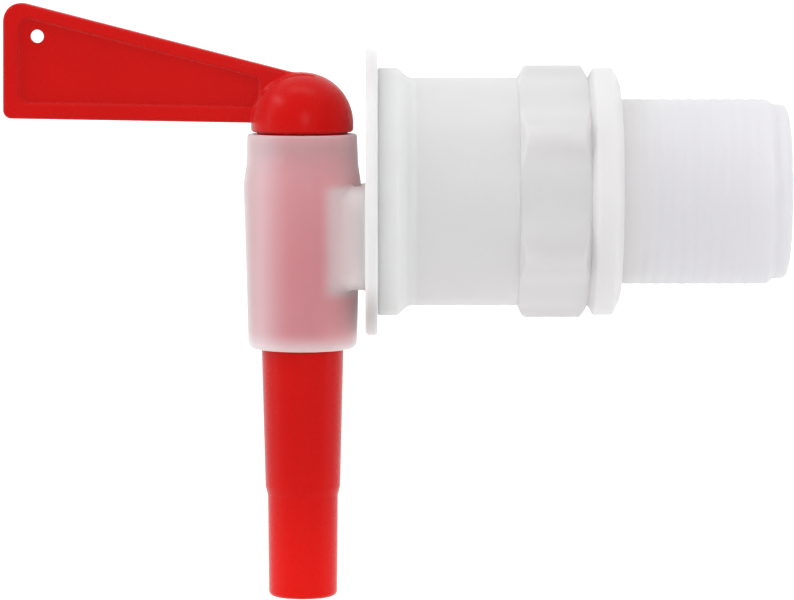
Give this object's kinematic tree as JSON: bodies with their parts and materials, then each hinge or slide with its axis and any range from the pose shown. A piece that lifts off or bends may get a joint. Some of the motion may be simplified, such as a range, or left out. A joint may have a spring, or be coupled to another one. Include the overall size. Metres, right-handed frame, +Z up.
{
  "type": "barrel tap",
  "caption": "Plastic drum tap: a red lever, plug and nozzle in one piece turn in a translucent body, held in a translucent adaptor with a threaded nose.",
  "frame": {"origin": "on the adaptor's axis, in the plane of the collar's flat seat, which meets the drum", "axes": "+X along the adaptor's axis into the drum, +Z up, the nozzle points along -Z and the lever along -X"},
  "size_m": [0.1121, 0.0412, 0.0855],
  "materials": {
    "red_plastic": "moulded, satin gloss",
    "natural_plastic": "moulded, undyed and translucent, satin"
  },
  "bodies": {
    "tap": {"threaded_adaptor": "natural_plastic", "tap_body": "natural_plastic"},
    "plug": {"lever_plug": "red_plastic"}
  },
  "joints": [
    {"name": "lever_turn", "type": "hinge", "parent": "tap", "child": "plug", "pos_m": [-0.04525, 0, 0], "axis": [0, 0, 1], "range_deg": [-90, 90]}
  ]
}
